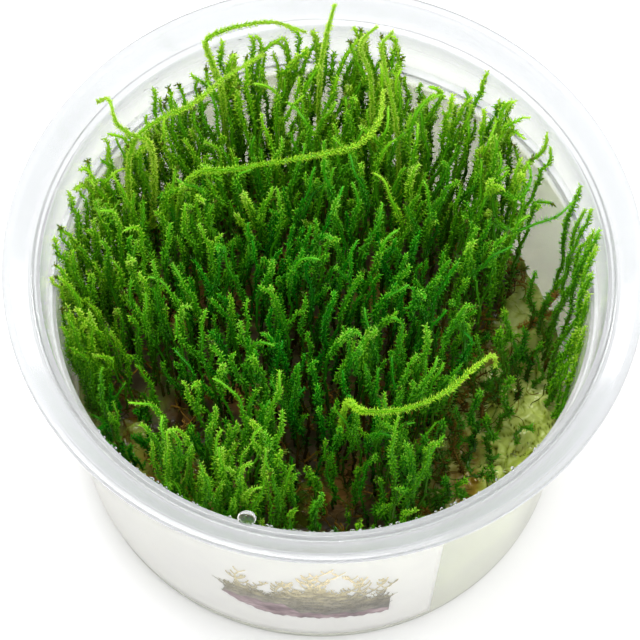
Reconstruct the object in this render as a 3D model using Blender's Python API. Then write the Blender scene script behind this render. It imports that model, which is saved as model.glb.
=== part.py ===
"""A clump of water moss growing on clear gel in an open culture cup.

Units are metres and +Z is up.  The origin is the centre of the cup's base,
on the surface that it stands on, and the front of the cup faces -Y.
The moss is built as the bunches that it would pull apart into, each a solid
out to the tips of its shoots, and as a few long single shoots above them.
"""

import math
import random

import bmesh
import bpy
from mathutils import Vector

MM = 0.001
GAP = 0.3 * MM                     # between pieces that touch

# Cup: radii are outside sizes, heights are above the base.
WALL = 0.6 * MM
BASE_RADIUS = 38.7 * MM
BASE_THICKNESS = 0.8 * MM
BASE_CORNER = 1.6 * MM
LEDGE_RADIUS = 42.6 * MM           # top of the tapered lower wall
LEDGE_HEIGHT = 46.8 * MM
UPPER_WALL_RADIUS = 43.6 * MM      # foot of the steep upper wall
UPPER_WALL_HEIGHT = 47.4 * MM
BEAD_RADIUS = 44.9 * MM            # inner edge of the bead, top of the upper wall
BEAD_HEIGHT = 55.5 * MM
GROOVE_RADIUS = 45.5 * MM          # where the flange starts to rise
GROOVE_HEIGHT = 55.1 * MM
LAND_RADIUS = 48.8 * MM            # inner edge of the flat land that a lid seals on
RIM_RADIUS = 50.0 * MM
RIM_HEIGHT = 57.8 * MM
CUP_SEGMENTS = 72

# Label: a paper band on the lower wall, open at the front right.
LABEL_THICKNESS = 0.2 * MM
LABEL_BOTTOM = 3.6 * MM
LABEL_TOP = 43.8 * MM
LABEL_START = -14.0                # degrees from +X, counterclockwise
LABEL_END = 298.0
LABEL_SEGMENTS = 60

# Gel and the mat of old stems on it.
GEL_TOP = 17.4 * MM
GEL_LUMP = 0.9 * MM
MAT_THICKNESS = 3.0 * MM

# Moss clump: its outline is a circle with a bay where the gel lies bare.
CLUMP_RADIUS = 38.9 * MM
CLUMP_TOP_RADIUS = 41.2 * MM
BAY_DIRECTION = -28.0              # degrees
BAY_HALF_WIDTH = 44.0              # degrees
BAY_DEPTH = 16.0 * MM
CANOPY_HEIGHT = 50.5 * MM          # mean height of the shoots' tips
CANOPY_SPIKE = 3.2 * MM            # how far single tips stand out of it or fall short
CANOPY_RINGS = 11
INNER_BUNCHES = 6
INNER_BUNCH_RADIUS = 16.5 * MM
WALL_BUNCHES = 9
WALL_BUNCH_RADIUS = 33.0 * MM
WALL_BUNCH_ARC = (6.0, 290.0)      # degrees, all but the bay
BUNCH_TAPER = 0.07                 # a bunch draws in this much towards its tips

# Long shoots: routes in millimetres, from the canopy to the tip.
SHOOT_RADIUS = 0.8 * MM
SHOOT_CLEARANCE = 1.2 * MM         # from a shoot to the bunches below it
SHOOT_POINTS = 22
LONG_SHOOTS = {
    "long_arch_shoot": [(-23, 17, 48), (-20, 16, 57), (-15, 14, 62), (-10, 14, 64), (-3, 15, 65),
                        (3, 16, 66), (6, 18, 66), (8, 21, 66.5), (8.5, 26, 67)],
    "front_arch_shoot": [(4, -19, 48), (6, -24, 56), (10, -26, 60), (14, -26, 62), (19, -24, 63.5),
                         (22.5, -21, 64.5), (25, -18.5, 64), (26, -17, 62)],
    "rim_runner_shoot": [(-17, 34, 50), (-18.5, 34, 60), (-19.5, 34.5, 66), (-17, 35, 68.5),
                         (-14, 35.5, 69.5), (-9, 36, 70), (-4, 35, 69)],
    "rim_tip_shoot": [(-1.5, 36.5, 50), (-1.2, 37.5, 57), (-0.4, 38.4, 64), (0.6, 39.5, 70)],
    "left_hook_shoot": [(-30.5, 25.5, 48), (-33, 25, 55), (-35, 25.5, 60), (-34.5, 27, 62.5), (-32.5, 27.5, 62)],
    "left_bow_shoot": [(-31.5, 20, 49), (-30, 22, 57), (-26, 24, 60), (-21.5, 26, 61), (-16, 30, 63),
                       (-10.5, 33, 65)],
    "back_curl_shoot_1": [(7, 33, 49), (6.5, 35.5, 55), (4.9, 37, 60), (5.4, 37.2, 64), (7.3, 37.4, 67)],
    "back_curl_shoot_2": [(11, 29, 49), (9.8, 32, 55), (8.6, 35, 60), (8.2, 36, 64), (9.8, 36.6, 67)],
}


def clear_scene():
    for obj in list(bpy.data.objects):
        bpy.data.objects.remove(obj, do_unlink=True)


def plain_material(name, color, roughness, transmission=0.0):
    material = bpy.data.materials.new(name)
    material.use_nodes = True
    shader = material.node_tree.nodes["Principled BSDF"]
    shader.inputs["Base Color"].default_value = (*color, 1.0)
    shader.inputs["Roughness"].default_value = roughness
    shader.inputs["Metallic"].default_value = 0.0
    shader.inputs["Transmission Weight"].default_value = transmission
    material.diffuse_color = (*color, 1.0)
    return material


def add_object(name, bm, material, smooth_angle=40.0):
    """Turns a finished bmesh into a named object with faces pointing out."""
    bmesh.ops.recalc_face_normals(bm, faces=bm.faces)
    mesh = bpy.data.meshes.new(name)
    bm.to_mesh(mesh)
    bm.free()
    mesh.materials.append(material)
    mesh.shade_smooth()
    mesh.set_sharp_from_angle(angle=math.radians(smooth_angle))
    obj = bpy.data.objects.new(name, mesh)
    bpy.context.scene.collection.objects.link(obj)
    return obj


def arc(center, radius, start, end, steps):
    """Points (r, z) on a quarter turn or less, angles in degrees."""
    angles = [math.radians(start + (end - start) * i / steps) for i in range(steps + 1)]
    return [(center[0] + radius * math.cos(a), center[1] + radius * math.sin(a)) for a in angles]


def spun(profile, segments):
    """Spins a closed profile that starts and ends on the Z axis."""
    bm = bmesh.new()
    verts = [bm.verts.new((r, 0.0, z)) for r, z in profile]
    edges = [bm.edges.new(pair) for pair in zip(verts, verts[1:])]
    bmesh.ops.spin(bm, geom=verts + edges, cent=(0, 0, 0), axis=(0, 0, 1),
                   angle=math.tau, steps=segments)
    bmesh.ops.remove_doubles(bm, verts=bm.verts, dist=0.01 * MM)
    return bm


def lower_wall_radius(height):
    """Outside radius of the tapered wall at a height above the base."""
    return BASE_RADIUS + (LEDGE_RADIUS - BASE_RADIUS) * height / LEDGE_HEIGHT


def cup_profile():
    slope = (LEDGE_RADIUS - BASE_RADIUS) / LEDGE_HEIGHT
    lean = math.degrees(math.atan(slope))
    corner_center = (BASE_RADIUS + slope * BASE_CORNER - BASE_CORNER, BASE_CORNER)
    outside = [(0.0, 0.0)]
    outside += arc(corner_center, BASE_CORNER, -90, -lean, 3)
    outside += [
        (LEDGE_RADIUS, LEDGE_HEIGHT),
        (UPPER_WALL_RADIUS, UPPER_WALL_HEIGHT),
        (GROOVE_RADIUS, GROOVE_HEIGHT - WALL),
        (LAND_RADIUS, RIM_HEIGHT - WALL),
        (RIM_RADIUS - WALL / 2, RIM_HEIGHT - WALL),
    ]
    edge = arc((RIM_RADIUS - WALL / 2, RIM_HEIGHT - WALL / 2), WALL / 2, -45, 45, 2)
    inside = [
        (RIM_RADIUS - WALL / 2, RIM_HEIGHT),
        (LAND_RADIUS, RIM_HEIGHT),
        (GROOVE_RADIUS, GROOVE_HEIGHT),
        (BEAD_RADIUS + 0.3 * MM, BEAD_HEIGHT),
        (BEAD_RADIUS, BEAD_HEIGHT - 0.2 * MM),
        (UPPER_WALL_RADIUS - WALL, UPPER_WALL_HEIGHT + 0.3 * MM),
        (LEDGE_RADIUS - WALL, LEDGE_HEIGHT + 0.3 * MM),
    ]
    inner_center = (corner_center[0], BASE_CORNER)
    inside += [(r, z + 0.2 * MM) for r, z in arc(inner_center, BASE_CORNER - WALL, -lean, -90, 2)]
    inside.append((0.0, inside[-1][1]))
    return outside + edge + inside


def make_cup():
    plastic = plain_material("clear_plastic", (0.92, 0.94, 0.95), 0.18, 0.8)
    return add_object("cup", spun(cup_profile(), CUP_SEGMENTS), plastic, 30.0)


def make_label():
    """A thin band on the slanted wall, its profile spun part of a turn and capped."""
    paper = plain_material("label_paper", (0.86, 0.86, 0.85), 0.6)
    low = lower_wall_radius(LABEL_BOTTOM) + GAP
    high = lower_wall_radius(LABEL_TOP) + GAP
    corners = [
        (low, LABEL_BOTTOM),
        (low + LABEL_THICKNESS, LABEL_BOTTOM),
        (high + LABEL_THICKNESS, LABEL_TOP),
        (high, LABEL_TOP),
    ]
    start = math.radians(LABEL_START)
    bm = bmesh.new()
    verts = [bm.verts.new((r * math.cos(start), r * math.sin(start), z)) for r, z in corners]
    edges = [bm.edges.new((verts[i - 1], verts[i])) for i in range(4)]
    bmesh.ops.spin(bm, geom=verts + edges, cent=(0, 0, 0), axis=(0, 0, 1),
                   angle=math.radians(LABEL_END - LABEL_START), steps=LABEL_SEGMENTS)
    bmesh.ops.holes_fill(bm, edges=bm.edges, sides=4)
    return add_object("label", bm, paper, 30.0)


def filled_outline(low_outline, high_outline, floor, top, rings, sectors):
    """A closed body with a flat underside, a side between two outlines and a bumpy top.

    An outline gives the radius at an angle, and top(ring, sector) the height of
    a point of the top, whose rings are the high outline drawn smaller.
    """
    bm = bmesh.new()
    angles = [math.tau * i / sectors for i in range(sectors)]

    def point(radius, angle, height):
        return bm.verts.new((radius * math.cos(angle), radius * math.sin(angle), height))

    loops = []
    for ring in range(1, rings + 1):
        share = ring / rings
        loops.append([point(share * high_outline(a), a, top(ring, i)) for i, a in enumerate(angles)])
    under = [point(low_outline(a), a, floor) for a in angles]
    loops.append(under)
    top_center = point(0.0, 0.0, top(0, 0))
    under_center = point(0.0, 0.0, floor)
    for i in range(sectors):
        after = (i + 1) % sectors
        bm.faces.new((top_center, loops[0][i], loops[0][after]))
        bm.faces.new((under_center, under[after], under[i]))
        for inner, outer in zip(loops, loops[1:]):
            bm.faces.new((inner[i], outer[i], outer[after]))
            bm.faces.new((inner[i], outer[after], inner[after]))
    return bm


def with_bay(radius):
    """An outline: a circle whose radius drops smoothly round the bay's direction."""
    def outline(angle):
        away = (math.degrees(angle) - BAY_DIRECTION + 180.0) % 360.0 - 180.0
        near = max(0.0, 1.0 - abs(away) / BAY_HALF_WIDTH)
        return radius - BAY_DEPTH * math.sin(math.pi / 2 * near) ** 2
    return outline


def gel_radius(height):
    return lower_wall_radius(height) - WALL - GAP


def make_gel():
    """The cast disc fills the cup's bottom, and its top is lumpy."""
    gel = plain_material("clear_gel", (0.80, 0.82, 0.62), 0.12, 0.8)
    rng = random.Random(3)
    floor = BASE_THICKNESS + GAP

    def top(ring, sector):
        return GEL_TOP + GEL_LUMP * rng.uniform(-1.0, 1.0)

    foot = gel_radius(BASE_CORNER) - BASE_CORNER
    shoulder = gel_radius(GEL_TOP) - GEL_LUMP
    bm = filled_outline(lambda angle: foot, lambda angle: shoulder, floor, top, 6, 36)
    return add_object("culture_gel", bm, gel)


def make_mat(floor):
    stems = plain_material("old_stems", (0.22, 0.17, 0.06), 0.7)
    outline = with_bay(CLUMP_RADIUS - GAP)
    rng = random.Random(5)

    def top(ring, sector):
        return floor + MAT_THICKNESS - rng.uniform(0.0, 1.2) * MM

    return add_object("old_stem_mat", filled_outline(outline, outline, floor, top, 5, 40), stems)


def bunch_centers():
    """The middle bunch, the ring round it and the ring along the wall."""
    centers = [Vector((0.0, 0.0, 0.0))]
    for i in range(INNER_BUNCHES):
        angle = math.tau * (i + 0.3) / INNER_BUNCHES
        centers.append(Vector((math.cos(angle), math.sin(angle), 0.0)) * INNER_BUNCH_RADIUS)
    first, last = WALL_BUNCH_ARC
    for i in range(WALL_BUNCHES):
        angle = math.radians(first + (last - first) * (i + 0.5) / WALL_BUNCHES)
        centers.append(Vector((math.cos(angle), math.sin(angle), 0.0)) * WALL_BUNCH_RADIUS)
    return centers


def cut_to_bunch(bm, own, others):
    """Cuts away what lies nearer to another bunch, and closes each cut."""
    for other in others:
        away = (other - own).normalized()
        face_point = (own + other) / 2 - away * GAP / 2
        parts = list(bm.verts) + list(bm.edges) + list(bm.faces)
        bmesh.ops.bisect_plane(bm, geom=parts, dist=0.001 * MM, plane_co=face_point,
                               plane_no=away, clear_outer=True)
        open_edges = [edge for edge in bm.edges if edge.is_boundary]
        bmesh.ops.holes_fill(bm, edges=open_edges, sides=0)


def make_bunches(floor):
    moss = plain_material("green_moss", (0.09, 0.24, 0.02), 0.6)
    rng = random.Random(8)
    spikes = {}

    def top(ring, sector):
        side = 1.0 if ring % 2 == 1 and sector % 2 == ring // 2 % 2 else -1.0
        return spikes.setdefault((ring, sector), CANOPY_HEIGHT + side * rng.uniform(0.4, 1.0) * CANOPY_SPIKE)

    centers = bunch_centers()
    for number, own in enumerate(centers, 1):
        bm = filled_outline(with_bay(CLUMP_RADIUS), with_bay(CLUMP_TOP_RADIUS), floor, top, CANOPY_RINGS, 48)
        cut_to_bunch(bm, own, [other for other in centers if other is not own])
        for vert in bm.verts:
            rise = (vert.co.z - floor) / (CANOPY_HEIGHT - floor)
            axis = Vector((own.x, own.y, vert.co.z))
            vert.co = vert.co.lerp(axis, BUNCH_TAPER * rise)
        add_object(f"moss_tuft_{number:02d}", bm, moss)


def smooth_route(points, count):
    """Evenly spaced points on a Catmull-Rom curve through the route's own points."""
    route = [Vector(p) * MM for p in points]
    ends = [2 * route[0] - route[1], *route, 2 * route[-1] - route[-2]]
    fine = []
    for a, b, c, d in zip(ends, ends[1:], ends[2:], ends[3:]):
        for i in range(12):
            t = i / 12
            fine.append(0.5 * (2 * b + (c - a) * t + (2 * a - 5 * b + 4 * c - d) * t * t
                               + (3 * b - a - 3 * c + d) * t ** 3))
    fine.append(route[-1])
    leaving = CANOPY_HEIGHT + CANOPY_SPIKE + SHOOT_CLEARANCE
    fine = [point for point in fine if point.z > leaving]
    lengths = [0.0]
    for before, after in zip(fine, fine[1:]):
        lengths.append(lengths[-1] + (after - before).length)
    spaced = []
    for i in range(count):
        wanted = lengths[-1] * i / (count - 1)
        k = max(j for j, length in enumerate(lengths) if length <= wanted + 1e-9)
        k = min(k, len(fine) - 2)
        part = (wanted - lengths[k]) / (lengths[k + 1] - lengths[k])
        spaced.append(fine[k].lerp(fine[k + 1], part))
    return spaced


def make_long_shoots():
    moss = plain_material("bright_moss", (0.25, 0.48, 0.04), 0.5)
    for name, route in LONG_SHOOTS.items():
        curve = bpy.data.curves.new(name, "CURVE")
        curve.dimensions = "3D"
        curve.bevel_depth = SHOOT_RADIUS
        curve.bevel_resolution = 1
        curve.use_fill_caps = True
        curve.materials.append(moss)
        points = smooth_route(route, SHOOT_POINTS)
        spline = curve.splines.new("POLY")
        spline.points.add(len(points) - 1)
        for spline_point, point in zip(spline.points, points):
            spline_point.co = (*point, 1.0)
        bpy.context.scene.collection.objects.link(bpy.data.objects.new(name, curve))


def main():
    clear_scene()
    make_cup()
    make_label()
    make_gel()
    mat_floor = GEL_TOP + GEL_LUMP + GAP
    make_mat(mat_floor)
    make_bunches(mat_floor + MAT_THICKNESS + GAP)
    make_long_shoots()


main()
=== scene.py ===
import math
import bpy
import numpy as np
from mathutils import Matrix, Vector


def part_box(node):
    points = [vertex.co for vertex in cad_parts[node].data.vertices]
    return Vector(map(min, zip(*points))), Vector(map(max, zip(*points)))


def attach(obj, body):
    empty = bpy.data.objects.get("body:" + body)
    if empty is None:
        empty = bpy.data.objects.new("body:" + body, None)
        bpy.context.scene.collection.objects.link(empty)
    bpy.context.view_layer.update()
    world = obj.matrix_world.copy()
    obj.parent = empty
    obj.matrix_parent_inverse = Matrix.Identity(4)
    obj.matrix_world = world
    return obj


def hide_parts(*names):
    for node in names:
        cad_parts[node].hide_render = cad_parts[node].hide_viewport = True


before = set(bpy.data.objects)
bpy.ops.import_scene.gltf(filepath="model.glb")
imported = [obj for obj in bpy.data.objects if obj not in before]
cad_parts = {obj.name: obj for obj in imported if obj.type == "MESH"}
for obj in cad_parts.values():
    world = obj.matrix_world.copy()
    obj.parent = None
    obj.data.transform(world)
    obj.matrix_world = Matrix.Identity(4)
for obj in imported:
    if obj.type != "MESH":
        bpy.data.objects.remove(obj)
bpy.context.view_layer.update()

mm = 0.001
tau = 2 * math.pi
goldenTurn = math.pi * (3 - math.sqrt(5))

rimRadius, _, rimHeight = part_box("cup")[1]
labelLow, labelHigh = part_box("label")
gelLow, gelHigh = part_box("culture_gel")
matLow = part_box("old_stem_mat")[0]
tuftNodes = sorted(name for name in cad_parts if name.startswith("moss_tuft_"))


def added(name, data):
    made = bpy.data.objects.new(name, data)
    bpy.context.scene.collection.objects.link(made)
    return made


def meshPiece(name, points, faces, material, replaced=None, uv=None, smooth=True, shade=None):
    # points (n, 3) in metres, faces a list of index arrays, one array per face size;
    # shade is one number per point that the material can read
    faces = [f for f in faces if len(f)]
    loops = np.concatenate([f.ravel() for f in faces]).astype(np.int32)
    sizes = np.concatenate([np.full(len(f), f.shape[1]) for f in faces]).astype(np.int32)
    starts = np.concatenate([[0], np.cumsum(sizes)[:-1]]).astype(np.int32)
    mesh = bpy.data.meshes.new(name)
    mesh.vertices.add(len(points))
    mesh.vertices.foreach_set("co", np.asarray(points, np.float32).ravel())
    mesh.loops.add(len(loops))
    mesh.loops.foreach_set("vertex_index", loops)
    mesh.polygons.add(len(sizes))
    mesh.polygons.foreach_set("loop_start", starts)
    mesh.update(calc_edges=True)
    mesh.validate()
    if uv is not None:
        layer = mesh.uv_layers.new(name="OFBake")
        layer.uv.foreach_set("vector", np.asarray(uv, np.float32)[loops].ravel())
    if shade is not None:
        layer = mesh.attributes.new("shade", "FLOAT", "POINT")
        layer.data.foreach_set("value", np.asarray(shade, np.float32))
    if smooth:
        mesh.shade_smooth()
    mesh.materials.append(material)
    piece = added(name, mesh)
    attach(piece, "root")
    if replaced:
        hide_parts(replaced)


def tubeFaces(rows, columns):
    # quads between rows of points stored one after another, each row closing on itself
    r, c = np.meshgrid(np.arange(rows - 1), np.arange(columns), indexing="ij")
    after = (c + 1) % columns
    low = r * columns
    return np.stack([low + c, low + after, low + columns + after, low + columns + c], -1).reshape(-1, 4)


def closedRings(rows, columns, fromTop=False):
    # rows of points round an axis, closed by fans to the two points that follow them. Rows that start at the
    # top have their faces turned round, so that they still look outwards.
    ring = np.arange(columns)
    after = (ring + 1) % columns
    middle = rows * columns
    top = middle - columns
    fans = np.concatenate([
        np.stack([np.full(columns, middle), after, ring], -1),
        np.stack([np.full(columns, middle + 1), top + ring, top + after], -1),
    ])
    quads = tubeFaces(rows, columns)
    return [quads[:, ::-1], fans[:, [0, 2, 1]]] if fromTop else [quads, fans]


def repeated(faces, copies, size):
    # the same faces for each of several copies, every copy having its own run of that many points
    start = size * np.arange(copies)[:, None, None]
    return (start + faces).reshape(-1, faces.shape[1])


def polar(r, angle, *z):
    # places round the Z axis: X is r times the cosine and Y is r times the sine, with Z where it is given
    return np.stack([r * np.cos(angle), r * np.sin(angle), *z], -1)


def roundedProfile(corners, steps):
    # corners are (r, z, fillet) in millimetres; each fillet is a curve that touches both sides
    out = []
    for i, (r, z, fillet) in enumerate(corners):
        p = np.array([r, z], float)
        if fillet <= 0 or i in (0, len(corners) - 1):
            out.append(p[None])
            continue
        a = np.array(corners[i - 1][:2], float) - p
        b = np.array(corners[i + 1][:2], float) - p
        la, lb = np.linalg.norm(a), np.linalg.norm(b)
        a, b = a / la, b / lb
        half = math.acos(np.clip(a @ b, -1, 1)) / 2
        reach = min(fillet / math.tan(half), 0.48 * la, 0.48 * lb)
        t = np.linspace(0, 1, steps + 1)[:, None]
        out.append((1 - t) ** 2 * (p + a * reach) + 2 * t * (1 - t) * p + t * t * (p + b * reach))
    return np.concatenate(out) * mm


def turned(profile, segments):
    # a profile (r, z) carried round the Z axis; its two ends lie on the axis and close it
    angle = tau * np.arange(segments) / segments
    body = profile[1:-1]
    rings = polar(body[:, 0, None], angle, np.repeat(body[:, 1, None], segments, 1))
    middles = [[0, 0, profile[0, 1]], [0, 0, profile[-1, 1]]]
    return np.concatenate([rings.reshape(-1, 3), middles]), closedRings(len(body), segments)


def smoothRoute(points, count):
    # evenly spaced points on the curve through the given points that keeps their mean slopes
    p = np.array(points, float) * mm
    p = np.concatenate([[2 * p[0] - p[1]], p, [2 * p[-1] - p[-2]]])
    t = np.linspace(0, 1, 16, endpoint=False)[None, :, None]
    a, b, c, d = (p[i:len(p) - 3 + i, None] for i in range(4))
    fine = 0.5 * (2 * b + (c - a) * t + (2 * a - 5 * b + 4 * c - d) * t**2 + (3 * b - a - 3 * c + d) * t**3)
    fine = np.concatenate([fine.reshape(-1, 3), p[-2:-1]])
    run = np.concatenate([[0], np.cumsum(np.linalg.norm(np.diff(fine, axis=0), axis=1))])
    wanted = np.linspace(0, run[-1], count)
    return np.stack([np.interp(wanted, run, fine[:, i]) for i in range(3)], -1)


def newMaterial(name):
    material = bpy.data.materials.new(name)
    material.use_nodes = True
    material.node_tree.nodes.clear()
    return material, material.node_tree


def node(tree, kind, inputs=None, **settings):
    # inputs are sockets to link or constant values, by the name or the number of the input
    made = tree.nodes.new(kind)
    for key, value in settings.items():
        setattr(made, key, value)
    for key, value in (inputs or {}).items():
        if isinstance(value, bpy.types.NodeSocket):
            tree.links.new(value, made.inputs[key])
        else:
            made.inputs[key].default_value = value
    return made


def objectPlace(tree):
    return node(tree, "ShaderNodeTexCoord").outputs["Object"]


def heightOf(tree, place):
    return node(tree, "ShaderNodeSeparateXYZ", {"Vector": place}).outputs["Z"]


def noise(tree, place, scale, detail=2.0, roughness=0.5):
    settings = {"Vector": place, "Scale": scale, "Detail": detail, "Roughness": roughness}
    return node(tree, "ShaderNodeTexNoise", settings).outputs["Fac"]


def bumped(tree, height, strength, depth):
    settings = {"Height": height, "Strength": strength, "Distance": depth}
    return node(tree, "ShaderNodeBump", settings).outputs["Normal"]


def mapped(tree, value, low, high, toLow, toHigh):
    return node(tree, "ShaderNodeMapRange", {0: value, 1: low, 2: high, 3: toLow, 4: toHigh}).outputs[0]


def combined(tree, operation, first, second):
    return node(tree, "ShaderNodeMath", {0: first, 1: second}, operation=operation).outputs[0]


def blended(tree, factor, low, high):
    return node(tree, "ShaderNodeMix", {"Factor": factor, 6: low, 7: high}, data_type="RGBA").outputs[2]


def ramp(tree, factor, stops):
    made = node(tree, "ShaderNodeValToRGB", {"Fac": factor})
    elements = made.color_ramp.elements
    while len(elements) < len(stops):
        elements.new(0.5)
    for element, (place, color) in zip(elements, stops):
        element.position = place
        element.color = (*color, 1)
    return made.outputs["Color"]


def principled(tree, inputs):
    return node(tree, "ShaderNodeBsdfPrincipled", inputs).outputs["BSDF"]


def letThrough(tree, shader, color, share):
    # the shader, with a share of the light coming through it in the given colour
    through = node(tree, "ShaderNodeBsdfTranslucent", {"Color": color}).outputs["BSDF"]
    return node(tree, "ShaderNodeMixShader", {"Fac": share, 1: shader, 2: through}).outputs["Shader"]


def finished(material, shader, **more):
    node(material.node_tree, "ShaderNodeOutputMaterial", {"Surface": shader, **more})
    return material


def rgb(red, green, blue):
    # a colour as a screen shows it, 0 to 255, turned into the linear values that shaders take
    c = np.array([red, green, blue]) / 255
    return tuple(float(v) for v in np.where(c <= 0.04045, c / 12.92, ((c + 0.055) / 1.055) ** 2.4))


cup = {
    "wall": 0.6,
    "base": 38.7,
    "corner": 1.6,
    "ledge": (42.6, 46.8),
    "upperWall": (43.6, 47.4),
    "lip": 44.2,
    "bead": 45.0,
    "groove": (45.6, 55.0),
    "land": 48.8,
    "segments": 320,
    "tinted": (44, 56),  # heights between which the colours follow one another
    # painted light in the tints: the yellow-green low on the wall is painted greenish light from the moss and
    # gel, the grey at the ledge step and on the rim is painted shade
    "lowPaintedLight": rgb(243, 245, 229), "wallColor": rgb(244, 244, 243),
    "ledgePaintedShade": rgb(214, 216, 216), "rimPaintedShade": rgb(200, 202, 204),
    "milk": 0.28,        # share of light that the plastic scatters instead of passing
}


def cupProfile():
    # outside from the middle of the base up to the rim, then the inside back down to the middle
    w, top = cup["wall"], rimHeight / mm
    rim = rimRadius / mm
    (ledgeR, ledgeZ), (wallR, wallZ) = cup["ledge"], cup["upperWall"]
    grooveR, grooveZ = cup["groove"]
    outside = [
        (0, 0, 0), (cup["base"], 0, cup["corner"]),
        (ledgeR, ledgeZ, 0.5), (wallR, wallZ, 0.4),
        (cup["lip"] + w, grooveZ - w - 0.1, 0.6), (cup["land"], top - w - 0.5, 0.6),
        (rim - 0.25, top - 1.25, 0.25), (rim, top - 1.1, 0.12), (rim, top, 0.35),
    ]
    inside = [
        (cup["land"], top, 0.5), (grooveR, grooveZ, 0.35),
        (cup["bead"] + 0.1, grooveZ + 0.75, 0.35), (cup["lip"], grooveZ + 0.45, 0.35),
        (wallR - w, wallZ + 0.3, 0.4), (ledgeR - w, ledgeZ + 0.3, 0.4),
        (cup["base"] - w + 0.1, w + 0.2, cup["corner"]), (0, w + 0.2, 0),
    ]
    return roundedProfile(outside + inside, 6)


def cupMaterial():
    # clear moulded plastic with a little milkiness and the slow waves of a thin moulding. Its tint by height
    # is painted:
    # greenish light low on the wall, a shade line at the ledge step and shade over the rim
    material, tree = newMaterial("clear cup plastic")
    place = objectPlace(tree)
    start, end = cup["tinted"]
    rise = mapped(tree, heightOf(tree, place), start * mm, end * mm, 0.0, 1.0)
    wall, ledge = cup["wallColor"], cup["ledgePaintedShade"]
    tint = ramp(tree, rise, [(0.06, cup["lowPaintedLight"]), (0.17, wall), (0.22, ledge), (0.3, ledge), (0.36, wall),
                             (0.5, wall), (1.0, cup["rimPaintedShade"])])
    return finished(material, principled(tree, {
        "Base Color": tint, "Roughness": 0.17, "IOR": 1.45, "Transmission Weight": 1 - cup["milk"],
        "Normal": bumped(tree, noise(tree, place, 90.0, 3.0), 0.08, 0.0006),
    }))


def makeCup():
    points, faces = turned(cupProfile(), cup["segments"])
    meshPiece("cupShell", points, faces, cupMaterial(), "cup")


print("making the cup")
makeCup()


label = {
    "start": -14.0, "end": 298.0,
    "gap": 0.12, "thickness": 0.16,
    "columns": 260, "rows": 24,
    "white": rgb(250, 249, 250), "shadow": rgb(243, 242, 244),
    "inside": rgb(252, 252, 249),
    "glow": 0.66,        # share of light that comes through the paper
}


def outerWall(z):
    # outside radius of the tapered wall at a height, both in metres
    ledgeR, ledgeZ = cup["ledge"]
    return (cup["base"] + (ledgeR - cup["base"]) * (z / mm) / ledgeZ) * mm


def labelPoints(angle, z, lift):
    # places at an angle and a height, a lift in millimetres outside the wall's radius there
    return polar(outerWall(z) + lift * mm, angle, z)


def labelMaterial():
    # white paper with a faint grain of fibres, which light comes through
    material, tree = newMaterial("label paper")
    fibre = noise(tree, objectPlace(tree), 260.0, 5.0)
    shader = principled(tree, {
        "Base Color": ramp(tree, fibre, [(0.3, label["shadow"]), (0.7, label["white"])]),
        "Roughness": 0.5, "Specular IOR Level": 0.3, "Normal": bumped(tree, fibre, 0.1, 0.0003),
    })
    return finished(material, letThrough(tree, shader, (*label["inside"], 1), label["glow"]))


def sweptFaces(steps, loop):
    # a closed loop of points swept over some steps, with a cap at each end. The second half of the loop lies
    # behind the first and runs back.
    k = np.arange(loop // 2 - 1)
    cap = np.stack([k, k + 1, loop - 2 - k, loop - 1 - k], -1)
    return [tubeFaces(steps, loop)[:, ::-1], cap, (steps - 1) * loop + cap[:, ::-1]]


def makeLabel():
    # two rows of points a paper's thickness apart, swept round the wall
    low, high, rows = labelLow[2], labelHigh[2], label["rows"]
    angle = np.radians(np.linspace(label["start"], label["end"], label["columns"]))
    up = np.concatenate([np.linspace(low, high, rows), np.linspace(high, low, rows)])
    lift = np.repeat([label["gap"] + label["thickness"], label["gap"]], rows)
    a, z = np.meshgrid(angle, up, indexing="ij")
    points = labelPoints(a, z, lift).reshape(-1, 3)
    meshPiece("labelBand", points, sweptFaces(len(angle), 2 * rows), labelMaterial(), "label")


print("making the label")
makeLabel()


picture = {
    "from": -112.0, "to": -73.0,       # degrees round the cup
    "widthAt": 24.0,                   # height at which the picture's width is reckoned
    "columns": 120, "rows": 12,
    "barkLift": 0.03, "mossLift": 0.05, "plate": 0.012,      # off the paper, and a plate's thickness
    "ribbonLift": (0.075, 0.06),      # front and back of a stem
    "bark": (rgb(92, 76, 80), rgb(126, 110, 112), rgb(158, 142, 142)),
    "moss": (rgb(98, 95, 90), rgb(134, 130, 114), rgb(186, 176, 142), rgb(222, 208, 172)),
    "mossFrom": 14.0, "mossRange": 20.0,      # heights that the moss colours spread over
    "short": 440, "shortTwigs": 3, "shortWidth": 0.2,
    # share of the way along, height of the top, lean
    "tall": ((0.10, 30.5, 0.2), (0.21, 27.0, 0.3), (0.37, 28.0, -0.2), (0.39, 29.0, 0.2), (0.52, 33.0, -0.1),
             (0.53, 36.0, 0.25), (0.60, 34.5, 0.3), (0.74, 31.0, 0.3), (0.76, 32.5, 0.05), (0.84, 29.0, 0.35),
             (0.95, 26.5, 0.2)),
    "tallTwigs": 13, "tallWidth": 0.46,
    "seed": 15,
}


def printPoints(side, height, lift):
    # millimetres along the label and up it, turned into places on the paper's outside
    z = height * mm
    angle = np.radians((picture["from"] + picture["to"]) / 2) + side * mm / outerWall(picture["widthAt"] * mm)
    return labelPoints(angle, z, label["gap"] + label["thickness"] + lift)


def halfPicture():
    # half the picture's width in millimetres: half its turn in radians times the wall's radius
    return math.radians(picture["to"] - picture["from"]) / 2 * outerWall(picture["widthAt"] * mm) / mm


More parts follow.
